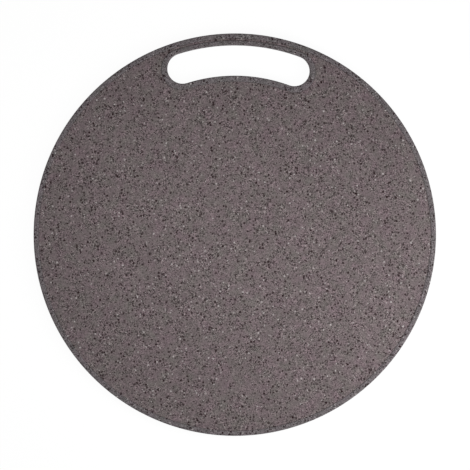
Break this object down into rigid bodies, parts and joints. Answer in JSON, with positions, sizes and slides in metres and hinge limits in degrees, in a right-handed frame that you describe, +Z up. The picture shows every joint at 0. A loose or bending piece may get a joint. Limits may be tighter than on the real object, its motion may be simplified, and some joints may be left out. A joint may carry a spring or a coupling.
{
  "type": "round cutting board",
  "caption": "Round granite-look plastic cutting board with raised soft rims round its edge and its arched hand opening, for chopping, carrying and hanging.",
  "frame": {"origin": "centre of the disc on the resting plane, under the lower rim", "axes": "+Z up, square to the cutting faces; +Y from the centre to the hand opening; +X to the right"},
  "size_m": [0.3, 0.3, 0.008],
  "materials": {
    "granite_plastic": "warm grey polypropylene with fine dark and pale specks, lightly textured",
    "soft_rim": "soft matte rim plastic in the same speckled grey, a little less warm"
  },
  "bodies": {
    "root": {"cutting_slab": "granite_plastic", "edge_band": "soft_rim", "handle_liner": "soft_rim"}
  },
  "joints": []
}
